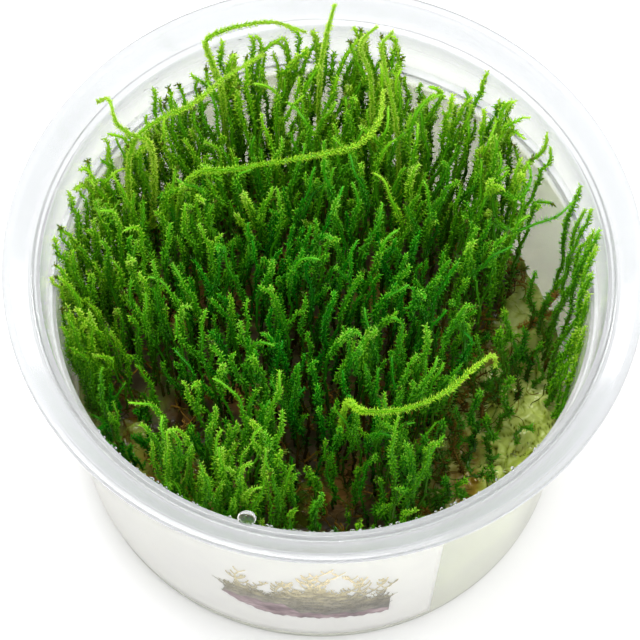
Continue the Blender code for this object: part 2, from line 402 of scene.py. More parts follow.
def printMaterial(name, stops, scale, byHeight=False):
    # ink whose colours follow an upright grain and, where asked, the height as well
    material, tree = newMaterial(name)
    place = objectPlace(tree)
    stretched = node(tree, "ShaderNodeMapping", {"Vector": place, "Scale": (1.0, 1.0, 2.4)}).outputs["Vector"]
    grain = noise(tree, stretched, scale, 6.0, 0.65)
    if byHeight:
        low, reach = picture["mossFrom"] * mm, picture["mossRange"] * mm
        rise = mapped(tree, heightOf(tree, place), low, low + reach, -0.35, 0.45)
        grain = combined(tree, "ADD", grain, rise)
    tint = ramp(tree, grain, stops)
    shader = principled(tree, {"Base Color": tint, "Roughness": 0.5, "Specular IOR Level": 0.3})
    return finished(material, shader)


def barkEdges(side):
    # lower and upper outline of the printed wood: thick at its left end, a thin strip on the right
    share = (side / halfPicture() + 1) / 2
    rise = np.clip(share / 0.3, 0, 1) ** 0.6
    low = 11.8 + 5.4 * (1 - rise) + 0.2 * np.sin(side * 1.9) + 0.15 * np.sin(side * 4.3 + 1)
    high = 16.2 + 1.7 * np.tanh((0.43 - share) / 0.05) + 0.35 * np.sin(side * 1.3) + 0.25 * np.sin(side * 3.1)
    meet = np.clip(share / 0.03, 0, 1)
    return low, low + np.maximum(high - low, 0.3) * meet


def mossTop(side):
    # upper outline of the printed moss: a hump right of the middle, lower at both ends
    share = (side / halfPicture() + 1) / 2
    ends = np.clip(share / 0.05, 0, 1) * np.clip((1 - share) / 0.02, 0.4, 1)
    hump = 20.8 + 6.0 * np.exp(-(((share - 0.56) / 0.2) ** 2)) + 1.6 * np.exp(-(((share - 0.1) / 0.12) ** 2))
    return 18.0 + (hump + 0.5 * np.sin(side * 2.3) + 0.4 * np.sin(side * 5.1) - 18.0) * ends


def printedPlate(name, low, high, side, lift, material):
    # a thin plate between two outlines: columns of points on its face, then the same on its back
    up = np.linspace(0, 1, picture["rows"])
    height = low[:, None] + (high - low)[:, None] * up
    across = np.broadcast_to(side[:, None], height.shape)
    face, back = printPoints(across, height, lift), printPoints(across, height, lift - picture["plate"])
    loop = np.concatenate([face, back[:, ::-1]], 1)
    meshPiece(name, loop.reshape(-1, 3), sweptFaces(*loop.shape[:2]), material)


def ribbons(spine, width):
    # spine (n, stations, 2) on the label, width (n, stations); each ribbon is a flat tube of four corners
    along = np.gradient(spine, axis=1)
    along /= np.linalg.norm(along, axis=2, keepdims=True)
    normal = np.stack([-along[..., 1], along[..., 0]], -1) * width[..., None] / 2
    left, right = spine + normal, spine - normal
    front, back = picture["ribbonLift"]
    corners = ((left, front), (right, front), (right, back), (left, back))
    loop = np.stack([printPoints(edge[..., 0], edge[..., 1], lift) for edge, lift in corners], 2)
    count, stations = loop.shape[:2]
    ends = [[3, 2, 1, 0], 4 * (stations - 1) + np.arange(4)]
    return loop.reshape(-1, 3), repeated(np.concatenate([tubeFaces(stations, 4), ends]), count, 4 * stations)


def sprig(foot, reach, lean, width, each, twigShare, stations, rng):
    # stems that rise from their feet over some stations and bend, each with its twigs, which leave it on both
    # sides and curl upwards: spines and widths
    count = len(reach)
    t = np.linspace(0, 1, stations)[None]
    bend = lean[:, None] * t + 0.10 * np.sin(5 * t + 7 * foot[:, :1])
    spine = foot[:, None] + reach[:, None, None] * np.stack([bend, t * np.cos(0.5 * lean)[:, None]], -1)
    owner = np.repeat(np.arange(count), each)
    place = rng.integers(1, stations - 1, len(owner))
    turn = np.where(np.arange(len(owner)) % 2 == 0, 1, -1) * rng.uniform(0.6, 1.2, len(owner))
    size = reach[owner] * rng.uniform(0.6, 1.2, len(owner)) * twigShare
    size *= 1.15 - 0.6 * place / (stations - 1)
    curl = turn[:, None] * (1 - 0.5 * t)
    heading = np.stack([np.sin(curl), np.cos(curl)], -1)
    twig = spine[owner, place][:, None] + (size[:, None] * t)[..., None] * heading
    widths = width * (1 - 0.55 * t) * np.ones((count, 1))
    twigWidths = 0.75 * width * (1 - 0.4 * t) * np.ones((len(owner), 1))
    return np.concatenate([spine, twig]), np.concatenate([widths, twigWidths])


def printPicture():
    # the wood, the mass of moss on it, its short tufts and the tall single stems
    rng = np.random.default_rng(picture["seed"])
    half = halfPicture()
    side = np.linspace(-half, half, picture["columns"])
    low, high = barkEdges(side)
    bark = printMaterial("printed bark", list(zip((0.35, 0.5, 0.66), picture["bark"])), 230.0)
    printedPlate("printedBark", low, high, side, picture["barkLift"], bark)
    mass = printMaterial("printed moss", list(zip((0.12, 0.4, 0.66, 0.9), picture["moss"])), 420.0, True)
    start = np.maximum(high - 0.6, low + 0.1)
    crown = np.maximum(mossTop(side) - 1.6, start + 0.05)
    printedPlate("printedMoss", start, crown, side, picture["mossLift"], mass)
    count = picture["short"]
    across = rng.uniform(-1, 1, count) * (half - 0.8)
    low, high = barkEdges(across)
    foot = np.stack([across, high - 0.5 + (mossTop(across) - high - 1.0) * rng.random(count) ** 0.7], -1)
    short = sprig(foot, rng.uniform(1.2, 2.6, count), rng.normal(0.1, 0.4, count), picture["shortWidth"],
                  picture["shortTwigs"], 0.55, 4, rng)
    share, top, lean = np.array(picture["tall"]).T
    across = (2 * share - 1) * half
    start = mossTop(across) - 2.5
    foot = np.stack([across - lean * 2.0, start], -1)
    tall = sprig(foot, top - start, lean, picture["tallWidth"], picture["tallTwigs"], 0.3, 7, rng)
    for name, (spine, width) in (("printedTufts", short), ("printedSprigs", tall)):
        points, faces = ribbons(spine, width)
        meshPiece(name, points, [faces], mass, smooth=False)


print("printing the label")
printPicture()


clump = {
    "spacing": 2.6, "scatter": 0.85,
    "radius": 38.4,
    "bay": (-20.0, 56.0, 15.0),      # direction, half width in degrees, depth
    "tall": (54.0, 1.6), "short": (34.0, 17.0), "tallShare": 0.32, "tallest": 58.0,
    # places and radii of openings, the share of shoots left there, and the share of those that stay low
    "openings": ((-27.0, -19.0, 11.0, 0.6, 0.8), (2.5, -31.5, 6.5, 0.6, 0.6), (-2.5, -21.5, 4.5, 0.6, 0.6),
                 (-26.0, -21.5, 4.0, 0.3, 1.0), (-31.0, -12.0, 4.0, 0.3, 1.0)),
    "undergrowth": 60,               # low shoots more in the first of them, but none in the last two
    "fringe": (62.0, 250.0, 150),    # from and to in degrees, and how many more shoots
    "twigShare": 0.2, "twigLength": (4, 11),
    "rod": (3.0, 9.0),               # length of the tight tip of a shoot
    "room": 0.75,                    # kept clear of the wall
    "stations": 21,
    "seed": 21,
}


def outlineRadius(angle, radius):
    # a circle whose radius drops smoothly towards the bay's direction
    direction, halfWidth, depth = clump["bay"]
    away = (np.degrees(angle) - direction + 180) % 360 - 180
    near = np.clip(1.7 * (1 - np.abs(away) / halfWidth), 0, 1)
    return radius - depth * np.sin(np.pi / 2 * near) ** 2


def openness(x, y):
    # 1 in the middle of an opening in the clump, falling to 0 at its edge; x and y in millimetres
    total = np.zeros(np.shape(x))
    for centreX, centreY, reach, *_ in clump["openings"]:
        total = total + (1 - np.hypot(x - centreX, y - centreY) ** 2 / reach**2).clip(0, 1)
    return total.clip(0, 1)


gel = {
    "rings": (24, 110), "fine": 18.0,                      # rings inside and outside this radius
    "segments": (130, 300), "open": (-92.0, 46.0),          # segments out of and in this stretch, degrees
    "down": 25,                                             # rows of the side
    "lumps": (40, 260), "lumpHeight": 0.22, "tilt": 0.34,
    "meniscus": 0.5,
    "seed": 5,
    # from dark brown to the clear middles of the lumps: the dark end is painted shade in the creases and
    # under the clump, where brown litter also lies
    "colors": ((0.1, rgb(66, 56, 20)), (0.28, rgb(106, 120, 28)), (0.56, rgb(176, 196, 74)),
               (0.84, rgb(208, 224, 118))),
    "stain": rgb(160, 108, 32), "depth": rgb(222, 226, 150),
    "clear": 0.42,       # share of light that passes
}


def waveField(x, y, count, size, seed):
    # a sum of plane waves with seeded directions and phases, about -1 to 1
    rng = np.random.default_rng(seed)
    turn, phase = rng.uniform(0, tau, (2, count))
    reach = size * mm * rng.uniform(0.6, 1.5, count)
    total = np.zeros(np.shape(x))
    for t, p, s in zip(turn, phase, reach):
        total = total + np.sin((x * math.cos(t) + y * math.sin(t)) * tau / s + p)
    return total / math.sqrt(count) / 1.2


def lumpField(x, y):
    # 0 in the creases and 1 in the middles of lumps: how much nearer the nearest centre is than the next.
    # The second value tips each lump by its own slope and lifts it by its own height, in metres.
    rng = np.random.default_rng(gel["seed"])
    few, many = gel["lumps"]
    wide, close = rng.uniform(-41, 41, (few, 2)), rng.uniform([4, -40], [41, 30], (many, 2))
    centres = np.concatenate([wide, close]) * mm
    lift = rng.uniform(-0.4, 0.4, few + many) * mm
    slope = rng.normal(0, gel["tilt"], (few + many, 2))
    bentX = x + 1.1 * mm * waveField(x, y, 7, 4, 12)
    bentY = y + 1.1 * mm * waveField(x, y, 7, 4, 13)
    away = np.hypot(bentX[..., None] - centres[:, 0], bentY[..., None] - centres[:, 1])
    nearest = away.argmin(-1)
    two = np.partition(away, 1, axis=-1)[..., :2]
    gap = ((two[..., 1] - two[..., 0]) / (0.55 * mm)).clip(0, 1)
    dome = np.sqrt(gap * (2 - gap))
    tipped = ((np.stack([bentX, bentY], -1) - centres[nearest]) * slope[nearest]).sum(-1)
    return dome, lift[nearest] + tipped


def gelSurface(x, y):
    # height of the gel's top, and the lump value there
    dome, lift = lumpField(x, y)
    base = (gelLow[2] + gelHigh[2]) / 2 + 0.40 * (gelHigh[2] - gelLow[2])
    soft = waveField(x, y, 9, 15, 2)
    fine = waveField(x, y, 9, 2.0, 6)
    z = base + (gel["lumpHeight"] * (dome - 0.6) + 0.7 * soft + 0.2 * fine) * mm + lift * dome
    return z, dome


def makeGel():
    # top grid of rings, then the side straight down inside the wall, then the flat underside
    inner = (cup["wall"] + 0.12) * mm
    start, end = gel["open"]
    coarse, close = gel["segments"]
    segments = coarse + close
    angle = np.radians(np.concatenate([np.linspace(start, end, close, endpoint=False),
                                       np.linspace(end, start + 360, coarse, endpoint=False)]))
    edge = outerWall(gelHigh[2]) - inner
    inmost, outer = gel["rings"]
    fine = gel["fine"] * mm / edge
    share = np.concatenate([np.linspace(0, fine, inmost)[1:-1], np.linspace(fine, 1, outer)])
    r, a = np.meshgrid(share * edge, angle, indexing="ij")
    x, y = r * np.cos(a), r * np.sin(a)
    z, dome = gelSurface(x, y)
    z = z + gel["meniscus"] * mm * np.clip((r / edge - 0.94) / 0.06, 0, 1) ** 2
    top = np.stack([x, y, z], -1)
    low = gelLow[2]
    down = np.linspace(1, 0, gel["down"] + 1)[1:]
    zSide = low + (z[-1][None] - low) * down[:, None]
    wrinkle = (waveField(angle * edge, zSide, 9, 7, 8) - 0.6).clip(-1.4, 0) * 0.35 * mm
    rSide = outerWall(zSide) - inner + wrinkle * np.sin(np.pi * down)[:, None]
    rSide[-1] -= 1.2 * mm
    side = polar(rSide, angle, zSide)
    sideShade = 0.3 + 1.1 * waveField(angle * edge, 1.4 * zSide, 9, 8, 9)
    rows = np.concatenate([top, side])
    middle, middleDome = gelSurface(np.zeros(1), np.zeros(1))
    ends = np.array([[0, 0, middle[0]], [0, 0, low]])
    # painted shade: the gel's colour goes dark under the clump, where brown litter also lies, and lifts again
    # in patches where the clump opens; its creases are darker still
    clear = np.clip((r / mm - outlineRadius(a, clump["radius"])) / 4 + 0.9, 0, 1)
    patchy = openness(x / mm, y / mm) * (0.9 + 0.9 * waveField(x, y, 7, 8, 21))
    clear = np.maximum(clear, np.where(x < -14 * mm, 0.75, 0.4) * patchy.clip(0, 1))
    shade = np.concatenate([((dome + 0.08) * clear).ravel(), sideShade.ravel(), middleDome, [0.85]])
    faces = closedRings(len(rows), segments, fromTop=True)
    points = np.concatenate([rows.reshape(-1, 3), ends])
    meshPiece("gelBody", points, faces, gelMaterial(), "culture_gel", shade=shade)


def gelMaterial():
    # cloudy olive jelly: darker in the creases and under the clump, painted shade with the brown of litter,
    # clearer and paler on the lumps, wet where it lies open
    material, tree = newMaterial("culture gel")
    place = objectPlace(tree)
    crease = node(tree, "ShaderNodeAttribute", attribute_name="shade").outputs["Fac"]
    level = combined(tree, "MULTIPLY", crease, 0.62)
    level = combined(tree, "ADD", noise(tree, place, 170.0, 5.0, 0.6), level)
    level = combined(tree, "SUBTRACT", level, 0.43)
    tint = ramp(tree, level, gel["colors"])
    stained = mapped(tree, noise(tree, place, 75.0, 3.0), 0.52, 0.64, 0.0, 0.75)
    shader = principled(tree, {
        "Base Color": blended(tree, stained, tint, (*gel["stain"], 1)),
        "Roughness": mapped(tree, crease, 0.0, 0.15, 0.8, 0.08), "IOR": 1.34,
        "Transmission Weight": gel["clear"], "Specular IOR Level": 0.8,
        "Normal": bumped(tree, noise(tree, place, 480.0, 3.0, 0.55), 0.8, 0.0008),
    })
    depth = node(tree, "ShaderNodeVolumeAbsorption", {"Color": (*gel["depth"], 1), "Density": 22.0})
    return finished(material, shader, Volume=depth.outputs["Volume"])


print("making the gel")
makeGel()


leaf = {
    "length": 0.72, "width": 0.25,
    "widest": 0.36,      # share of the length where the blade is widest
    "fold": 0.07,
    "sides": 4,          # of a stem
}

# how a shoot grows: leaves a millimetre, how many millimetres from its tip they stay that dense, the degrees
# that they stand off low down and at the tip, stem radius, how much older a stem looks than its leaves, the
# millimetres over which a leaf goes from fresh to old and darker, which is old brown growth and painted shade
# deeper in the clump, what the tip rod loses of its freshness, and leaf size
mossHabit = {"perMm": 9.5, "full": 13, "low": 62, "tip": 56, "stem": 0.24, "stemOlder": 0.14, "ageing": 36.0,
             "fade": 0.24, "size": 1.0}


def carriedFrames(paths):
    # tangents, and a side direction that is carried along each path without twisting
    tangent = np.gradient(paths, axis=1)
    tangent /= np.linalg.norm(tangent, axis=2, keepdims=True)
    side = np.zeros_like(paths)
    start = np.cross(tangent[:, 0], [0.36, 0.93, 0.1])
    side[:, 0] = start / np.linalg.norm(start, axis=1, keepdims=True)
    for i in range(1, paths.shape[1]):
        moved = side[:, i - 1] - (side[:, i - 1] * tangent[:, i]).sum(1, keepdims=True) * tangent[:, i]
        side[:, i] = moved / np.linalg.norm(moved, axis=1, keepdims=True)
    return tangent, side, np.cross(tangent, side)


def arcShare(paths):
    # share of its own length that each station of a path lies at, and the lengths
    steps = np.linalg.norm(np.diff(paths, axis=1), axis=2)
    run = np.concatenate([np.zeros((len(paths), 1)), np.cumsum(steps, 1)], 1)
    return run / run[:, -1:], run[:, -1]


def ageAt(distance, fresh, rodLength, habit, tone):
    # 1 for fresh growth at a tip, falling to 0 for the oldest: quickly over the tip rod, slowly below it,
    # and more slowly on lighter shoots. Colour darkens as it falls: old brown growth, and painted shade
    # deeper in the clump
    young = habit["fade"] * np.clip(distance / rodLength, 0, 1)
    old = 0.7 * np.clip((distance - rodLength) / (habit["ageing"] * (0.8 + 1.2 * tone)), 0, 1)
    return fresh - young - old


def stemTubes(paths, radius, age, tone):
    # thin tubes of a few sides on the paths, closed at both ends by fans; age and tone go into the map
    count, stations = paths.shape[:2]
    tangent, side, up = carriedFrames(paths)
    sides = leaf["sides"]
    turns = tau * np.arange(sides) / sides
    ring = np.cos(turns)[:, None] * side[:, :, None] + np.sin(turns)[:, None] * up[:, :, None]
    tubes = (paths[:, :, None] + ring * radius[:, :, None, None]).reshape(count, -1, 3)
    ends = np.stack([paths[:, 0], paths[:, -1] + tangent[:, -1] * radius[:, -1:] * 1.8], 1)
    points = np.concatenate([tubes, ends], 1)
    tubeUv = np.stack([
        np.broadcast_to(age[:, :, None], (count, stations, sides)) + 0.01 * np.sin(turns),
        tone[:, None, None] + 0.02 * np.cos(turns) + np.zeros((count, stations, 1)),
    ], -1).reshape(count, -1, 2)
    endUv = np.stack([age[:, [0, -1]], np.repeat(tone[:, None], 2, 1)], -1)
    uv = np.concatenate([tubeUv, endUv], 1).reshape(-1, 2)
    quads, fans = (repeated(faces, count, points.shape[1]) for faces in closedRings(stations, sides))
    return points.reshape(-1, 3), quads, fans, uv


def leafPlaces(lengths, habit, lower, rng):
    # the shoot that each leaf is on, its number there, and its distance from the tip in millimetres: evenly
    # spaced as far as the habit says, and thinned to the share lower beyond that
    full = np.minimum(lengths, habit["full"])
    leaves = np.maximum(((full + (lengths - full) * lower) * habit["perMm"]).astype(int), 6)
    owner = np.repeat(np.arange(len(lengths)), leaves)
    index = np.concatenate([np.arange(n) for n in leaves])
    far = (index + rng.uniform(0.1, 0.9, len(index))) / habit["perMm"]
    far = np.where(far < full[owner], far, full[owner] + (far - full[owner]) / lower[owner])
    return owner, index, far


def leafBoats(foot, ahead, inner, across, length, width, fold, curl):
    # four corners a leaf: foot, two shoulders raised along a fold, and tip. The shoulders change places
    # where the volume would come out negative, so that every face looks outwards.
    raised = foot + ahead * length * leaf["widest"] + inner * fold
    left, right = raised + across * width / 2, raised - across * width / 2
    tip = foot + ahead * length + inner * curl
    corners = np.stack([foot, left, right, tip], 1)
    flip = np.einsum("ij,ij->i", np.cross(left - foot, right - foot), tip - foot) < 0
    corners[flip] = corners[flip][:, [0, 2, 1, 3]]
    return corners


def leafyShoots(paths, fresh, tone, size, rod, dark, habit, seed, lower):
    # paths (shoots, stations, 3). Leaves sit a golden turn apart on each stem, each a closed boat
    # of four triangles: foot, two shoulders raised along a fold, and tip. They press close over
    # the rod at the shoot's tip and stand off below it. lower is the share of leaves that are left
    # where the shoot is out of sight. u of the map is the age, v the tone.
    rng = np.random.default_rng(seed)
    count, stations = paths.shape[:2]
    tangent, side, up = carriedFrames(paths)
    share, lengths = arcShare(paths)
    lengths = lengths / mm
    distance = (1 - share) * lengths[:, None]
    stem = habit["stem"] * mm * size[:, None] * (0.8 + 0.2 * np.clip(distance / 9, 0, 1))
    stem = stem * np.where(distance < 0.3, 0.7, 1)
    stemAge = ageAt(distance, fresh[:, None], rod[:, None], habit, tone[:, None]) - habit["stemOlder"]
    stemAge = np.where(dark[:, None] & (distance < 0.8), 0.2, stemAge)
    points, quads, triangles, uv = stemTubes(paths, stem, stemAge, tone)

    owner, index, far = leafPlaces(lengths, habit, np.broadcast_to(lower, count), rng)
    place = np.clip(1 - far / lengths[owner], 0.02, 1)
    below = np.clip((share[owner] < place[:, None]).sum(1) - 1, 0, stations - 2)
    first, second = share[owner, below], share[owner, below + 1]
    part = ((place - first) / np.maximum(second - first, 1e-9))[:, None]

    def between(values):
        return values[owner, below] * (1 - part) + values[owner, below + 1] * part

    p, t, s, w = between(paths), between(tangent), between(side), between(up)
    turn = (index * goldenTurn + rng.uniform(0, tau, count)[owner] + rng.normal(0, 0.25, len(index)))[:, None]
    out = np.cos(turn) * s + np.sin(turn) * w
    across = -np.sin(turn) * s + np.cos(turn) * w
    loose = np.clip(far / rod[owner] - 0.2, 0, 1)
    loose = loose * loose * (3 - 2 * loose)
    stand = np.radians(habit["tip"] + (habit["low"] - habit["tip"]) * loose + rng.normal(0, 12, len(index)))
    stand = stand.clip(0.05, 1.5)[:, None]
    ahead = np.cos(stand) * t + np.sin(stand) * out
    inner = np.sin(stand) * t - np.cos(stand) * out
    scale = habit["size"] * size[owner] * (0.74 + 0.26 * loose) * rng.uniform(0.6, 1.3, len(index))
    scale *= np.clip(1.1 - 0.25 * far / 40, 0.7, 1)
    length = (leaf["length"] * mm * scale)[:, None]
    width = (leaf["width"] * mm * scale * (1.2 - 0.2 * loose) * rng.uniform(0.85, 1.2, len(index)))[:, None]
    curl = rng.normal(-0.02, 0.12, len(index))[:, None] * length
    foot = p + out * habit["stem"] * 0.55 * mm
    boats = leafBoats(foot, ahead, inner, across, length, width, leaf["fold"] * mm * scale[:, None], curl)
    boatFaces = np.array([[0, 2, 1], [0, 1, 3], [1, 2, 3], [2, 0, 3]])
    blades = len(points) + repeated(boatFaces, len(index), 4)
    leafAge = ageAt(far, fresh[owner], rod[owner], habit, tone[owner]) + rng.normal(0, 0.03, len(index))
    leafAge = np.where(dark[owner] & (far < 0.7), 0.22, leafAge)
    leafTone = tone[owner] + rng.normal(0, 0.07, len(index))
    # each leaf's foot is painted shade where it meets the stem; its tip is lighter, partly its own pale tip
    # and partly a painted glint
    footShadeAndTipGlint = np.array([[-0.2, -0.1], [0.0, 0.012], [0.0, -0.012], [0.14, 0.18]])
    leafUv = np.stack([leafAge, leafTone], -1)[:, None] + footShadeAndTipGlint
    points = np.concatenate([points, boats.reshape(-1, 3)])
    uv = np.concatenate([uv, leafUv.reshape(-1, 2)]).clip(0.004, 0.996)
    return points, [quads, np.concatenate([triangles, blades])], uv


def mossMaterial():
    # colour by age along the shoot, darker towards its foot: old brown growth and painted shade deeper in the
    # clump;
    # and between a deep and a light set by the shoot's tone, partly random and partly painted light, higher
    # by the wall, at the back and on the tall shoots
    material, tree = newMaterial("moss leaves")
    uv = node(tree, "ShaderNodeUVMap", uv_map="OFBake").outputs["UV"]
    parts = node(tree, "ShaderNodeSeparateXYZ", {"Vector": uv}).outputs
    deep = ramp(tree, parts["X"], [
        (0.0, rgb(58, 44, 14)), (0.1, rgb(46, 46, 10)), (0.25, rgb(16, 72, 4)),
        (0.45, rgb(10, 112, 6)), (0.66, rgb(16, 146, 8)), (0.8, rgb(52, 180, 14)),
        (0.9, rgb(100, 208, 30)), (1.0, rgb(146, 222, 60)),
    ])
    light = ramp(tree, parts["X"], [
        (0.0, rgb(176, 132, 50)), (0.12, rgb(132, 112, 26)), (0.25, rgb(88, 128, 14)),
        (0.45, rgb(86, 172, 12)), (0.66, rgb(124, 204, 18)), (0.8, rgb(166, 226, 30)),
        (0.9, rgb(200, 238, 56)), (1.0, rgb(216, 246, 108)),
    ])
    color = blended(tree, parts["Y"], deep, light)
    shader = principled(tree, {
        "Base Color": color, "Roughness": 0.26, "IOR": 1.4, "Specular IOR Level": 0.45,
    })
    return finished(material, letThrough(tree, shader, color, 0.36))


moss = mossMaterial()


def leafyPiece(name, replaced, paths, fresh, tone, size, rod, dark, habit, seed, lower=0.32):
    # one piece of leafy shoots; what holds for all of them may be given as a single value
    each = (np.broadcast_to(value, len(paths)) for value in (fresh, tone, size, rod, dark))
    points, faces, uv = leafyShoots(paths, *each, habit, seed, lower)
    meshPiece(name, points, faces, moss, replaced, uv, smooth=False)
    print("  ", name, len(paths), "shoots", 2 * len(faces[0]) + len(faces[1]), "triangles")


def innerWall(z):
    # inside radius of the cup at a height in metres, lower wall and upper wall
    lower = outerWall(z) / mm - cup["wall"]
    wallR, wallZ = cup["upperWall"]
    inset, rise = cup["lip"] - wallR + cup["wall"], cup["groove"][1] - wallZ
    upper = wallR - cup["wall"] + inset * (z / mm - wallZ) / rise
    return np.where(z > wallZ * mm, upper, lower) * mm


def insideCup(paths, room):
    # points past the wall are brought back to it, so a shoot that leans too far runs up the plastic
    r = np.hypot(paths[..., 0], paths[..., 1])
    limit = innerWall(paths[..., 2]) - room * mm
    paths[..., :2] *= np.minimum(1, limit / np.maximum(r, 1e-6))[..., None]
    return paths


def clumpFeet():
    # a hexagonal grid of feet, each moved a little, kept inside the outline, and a fringe by the wall
    rng = np.random.default_rng(clump["seed"])
    step = clump["spacing"]
    n = int(clump["radius"] / step) + 3
    i, j = np.meshgrid(np.arange(-n, n + 1), np.arange(-n, n + 1))
    x = ((i + 0.5 * (j % 2)) * step).ravel() + rng.normal(0, clump["scatter"], i.size)
    y = (j * step * math.sqrt(3) / 2).ravel() + rng.normal(0, clump["scatter"], j.size)
    inside = np.hypot(x, y) < outlineRadius(np.arctan2(y, x), clump["radius"])
    start, end, extra = clump["fringe"]
    angle = np.radians(rng.uniform(start, end, extra))
    r = clump["radius"] - 4.5 * rng.random(extra) ** 1.5
    feet = np.concatenate([np.stack([x[inside], y[inside]], -1), polar(r, angle)])
    chance = rng.random(len(feet))
    leave = np.ones(len(feet), bool)
    low = np.zeros(len(feet), bool)
    for centreX, centreY, reach, left, staysLow in clump["openings"]:
        here = np.hypot(feet[:, 0] - centreX, feet[:, 1] - centreY) < reach
        leave &= ~here | (chance < left)
        low |= here & (chance < left * staysLow)
    centreX, centreY, reach = clump["openings"][0][:3]
    count = clump["undergrowth"]
    turn, away = rng.uniform(0, tau, count), reach * np.sqrt(rng.random(count))
    more = polar(away, turn) + [centreX, centreY]
    keep = np.hypot(*more.T) < clump["radius"] - 0.5
    for centreX, centreY, reach, *_ in clump["openings"][3:]:
        keep &= np.hypot(more[:, 0] - centreX, more[:, 1] - centreY) >= reach - 1.5
    feet = np.concatenate([feet[leave], more[keep]]) * mm
    return feet, np.concatenate([low[leave], np.ones(keep.sum(), bool)])


def grownPaths(feet, lengths, lean, sway, hook, hookFrom, rng):
    # each path is its foot plus the sum of small steps along its heading. The heading is upwards,
    # tipped by a vector in radians: a steady lean, a growing sway, small kinks and a hook over the last part.
    # Stations lie closer towards the tip. lean and hook are (n, 2), the rest (n,).
    count = len(feet)
    t = 1 - (1 - np.linspace(0, 1, clump["stations"])) ** 1.5
    steps = np.diff(t, prepend=0)[None, :, None]
    t = t[None, :, None]
    turn = rng.uniform(0, tau, (count, 1, 2))
    waves = rng.uniform(0.9, 1.9, (count, 1, 2))
    tip = lean[:, None] * (0.35 + 0.9 * t) + sway[:, None, None] * np.sin(turn + tau * waves * t) * (0.3 + t)
    kinks = lengths[:, None, None] / (5.5 * mm)
    tip = tip + 0.15 * np.sin(rng.uniform(0, tau, (count, 1, 2)) + tau * kinks * t)
    start = hookFrom[:, None, None]
    tip = tip + hook[:, None] * np.clip((t - start) / (1 - start), 0, 1) ** 1.3
    angle = np.linalg.norm(tip, axis=2, keepdims=True)
    flat = np.sin(angle) * tip / np.maximum(angle, 1e-9)
    heading = np.concatenate([flat, np.cos(angle)], -1)
    return feet[:, None] + np.cumsum(heading * steps, 1) * lengths[:, None, None]


def anyTurn(rng, amount):
    # vectors of the given lengths in seeded directions
    return polar(amount, rng.uniform(0, tau, len(amount)))


def tuftPaths(feet, low, place, back, rng):
    # how tall each shoot grows, how it leans and how its tip hooks over
    x, y = feet.T
    count = len(feet)
    floor = matLow[2] + 0.8 * mm
    tall = clump["tall"][0] + clump["tall"][1] * rng.normal(0, 1, count)
    short = clump["short"][0] + clump["short"][1] * rng.random(count) ** 0.7
    lead = rng.random(count) < clump["tallShare"]
    heights = np.where(lead, tall, short) + 1.8 * waveField(x, y, 5, 18, 41)
    heights = np.minimum(heights + 3.0 * back, clump["tallest"])
    heights = np.where(low, 20 + 10 * rng.random(count) ** 1.5, heights) * mm
    field = np.stack([waveField(x, y, 5, 30, 31), waveField(x, y, 5, 30, 37)], -1)
    spread = feet / np.maximum(np.hypot(x, y), 1e-6)[:, None] * (0.22 * place**1.6)[:, None]
    spread[:, 1] *= np.where(spread[:, 1] < 0, 0.3, 1)
    lean = spread + [0, 0.11] + 0.07 * field + anyTurn(rng, np.abs(rng.normal(0, 0.085, count)))
    hooked = rng.random(count) < np.where(lead, 0.45, 0.1)
    bend = np.where(hooked, rng.uniform(0.3, 1.5, count), rng.uniform(0, 0.35, count))
    hook = anyTurn(rng, bend)
    rod = rng.uniform(*clump["rod"], count)
    lengths = (heights - floor) * (1.02 + 0.04 * bend)
    hookFrom = 1 - rng.uniform(2.5, 7.0, count) * mm / lengths
    starts = np.column_stack([feet, np.full(count, floor)])
    paths = grownPaths(starts, lengths, lean, rng.uniform(0.06, 0.3, count), hook, hookFrom, rng)
    return insideCup(paths, clump["room"]), lead, rod


def tuftLooks(y, low, place, back, lead, waves, rng):
    # freshness, tone, size, dark tips and the share of leaves left low down: lighter and fuller towards the
    # wall and the back, with fewer leaves where a shoot is out of sight. The lighter tone and freshness by
    # the wall, at the back and on the tall shoots, and the duller low ones, are painted light and shade
    count = len(y)
    edge = np.clip((place - 0.35) / 0.6, 0, 1) * np.where(y < -0.008, 0.7, 1)
    # painted light: tone rises by the wall, at the back and on the tall shoots; the normal noise differs at
    # random
    tone = 0.08 + 0.12 * lead + 0.64 * edge * ~low + 0.55 * back + 0.12 * rng.normal(0, 1, count)
    tone = (tone + 0.08 * waves).clip(0.02, 0.95)
    fresh = (rng.uniform(0.74, 0.87, count) + 0.1 * lead + 0.06 * edge - 0.1 * low).clip(0, 1)
    size = rng.uniform(0.88, 1.2, count) * (1 + 0.15 * edge * (y > 0))
    lower = np.where((place > 0.7) & (y > 0), 0.42, np.where(place > 0.86, 0.55, 0.14))
    dark = rng.random(count) < 0.1 + 0.22 * edge
    return fresh, tone, size, dark, lower


def sideTwigs(paths, rng):
    # twigs leave some of the shoots and turn upwards: the shoot that each is on, and its path
    parent = np.flatnonzero(rng.random(len(paths)) < clump["twigShare"])
    count = len(parent)
    leave = rng.integers(6, 15, count)
    away = anyTurn(rng, rng.uniform(0.5, 1.0, count))
    lengths = rng.uniform(*clump["twigLength"], count) * mm
    sway = rng.uniform(0.05, 0.2, count)
    twigs = grownPaths(paths[parent, leave], lengths, away, sway, -0.9 * away, np.full(count, 0.05), rng)
    return parent, insideCup(twigs, clump["room"])


